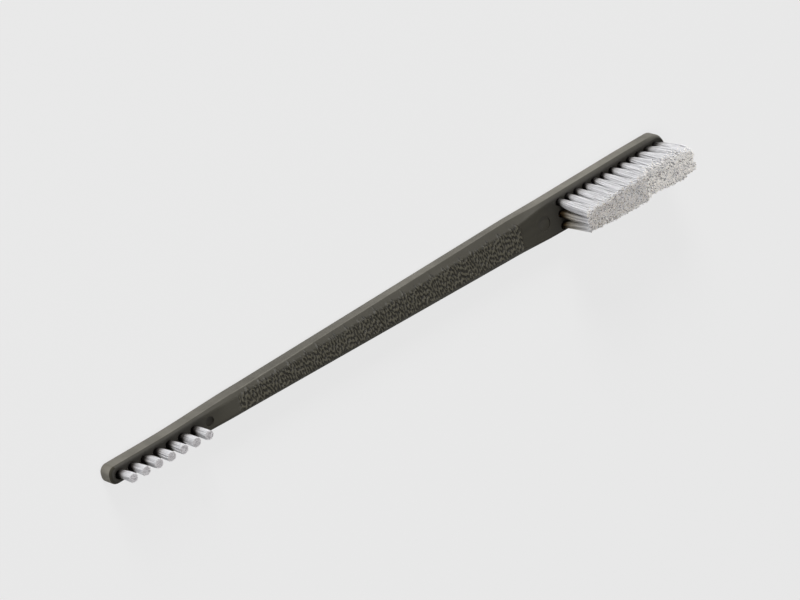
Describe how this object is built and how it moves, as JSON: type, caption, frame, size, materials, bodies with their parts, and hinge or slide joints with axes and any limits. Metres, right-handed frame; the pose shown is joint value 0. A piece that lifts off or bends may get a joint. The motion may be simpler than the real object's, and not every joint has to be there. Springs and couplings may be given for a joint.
{
  "type": "double-ended nylon scrub brush",
  "caption": "Slim double-ended scrub brush: a moulded handle with a wide notched bristle head at one end and a narrow single-row head at the other.",
  "frame": {"origin": "middle of the handle's flat back face, halfway along its length, which is the bottom centre of the bounding box", "axes": "+X along the handle towards the wide head, +Y across the handle, +Z away from the back, the way the bristles point"},
  "size_m": [0.177, 0.0108, 0.0148],
  "materials": {
    "handle_plastic": "dark olive-grey moulded plastic, satin, with a raised wrinkle grain on the grip",
    "bristle_nylon": "white nylon filament with a soft sheen and bluntly cut tips"
  },
  "bodies": {
    "root": {"handle": "handle_plastic", "large_tuft_r1_c01": "bristle_nylon", "large_tuft_r1_c02": "bristle_nylon", "large_tuft_r1_c03": "bristle_nylon", "large_tuft_r1_c04": "bristle_nylon", "large_tuft_r1_c05": "bristle_nylon", "large_tuft_r1_c06": "bristle_nylon", "large_tuft_r1_c07": "bristle_nylon", "large_tuft_r1_c08": "bristle_nylon", "large_tuft_r1_c09": "bristle_nylon", "large_tuft_r1_c10": "bristle_nylon", "large_tuft_r1_c11": "bristle_nylon", "large_tuft_r1_c12": "bristle_nylon", "large_tuft_r2_c01": "bristle_nylon", "large_tuft_r2_c02": "bristle_nylon", "large_tuft_r2_c03": "bristle_nylon", "large_tuft_r2_c04": "bristle_nylon", "large_tuft_r2_c05": "bristle_nylon", "large_tuft_r2_c06": "bristle_nylon", "large_tuft_r2_c07": "bristle_nylon", "large_tuft_r2_c08": "bristle_nylon", "large_tuft_r2_c09": "bristle_nylon", "large_tuft_r2_c10": "bristle_nylon", "large_tuft_r2_c11": "bristle_nylon", "large_tuft_r2_c12": "bristle_nylon", "large_tuft_r3_c01": "bristle_nylon", "large_tuft_r3_c02": "bristle_nylon", "large_tuft_r3_c03": "bristle_nylon", "large_tuft_r3_c04": "bristle_nylon", "large_tuft_r3_c05": "bristle_nylon", "large_tuft_r3_c06": "bristle_nylon", "large_tuft_r3_c07": "bristle_nylon", "large_tuft_r3_c08": "bristle_nylon", "large_tuft_r3_c09": "bristle_nylon", "large_tuft_r3_c10": "bristle_nylon", "large_tuft_r3_c11": "bristle_nylon", "large_tuft_r3_c12": "bristle_nylon", "small_tuft_1": "bristle_nylon", "small_tuft_2": "bristle_nylon", "small_tuft_3": "bristle_nylon", "small_tuft_4": "bristle_nylon", "small_tuft_5": "bristle_nylon", "small_tuft_6": "bristle_nylon", "small_tuft_7": "bristle_nylon"}
  },
  "joints": []
}
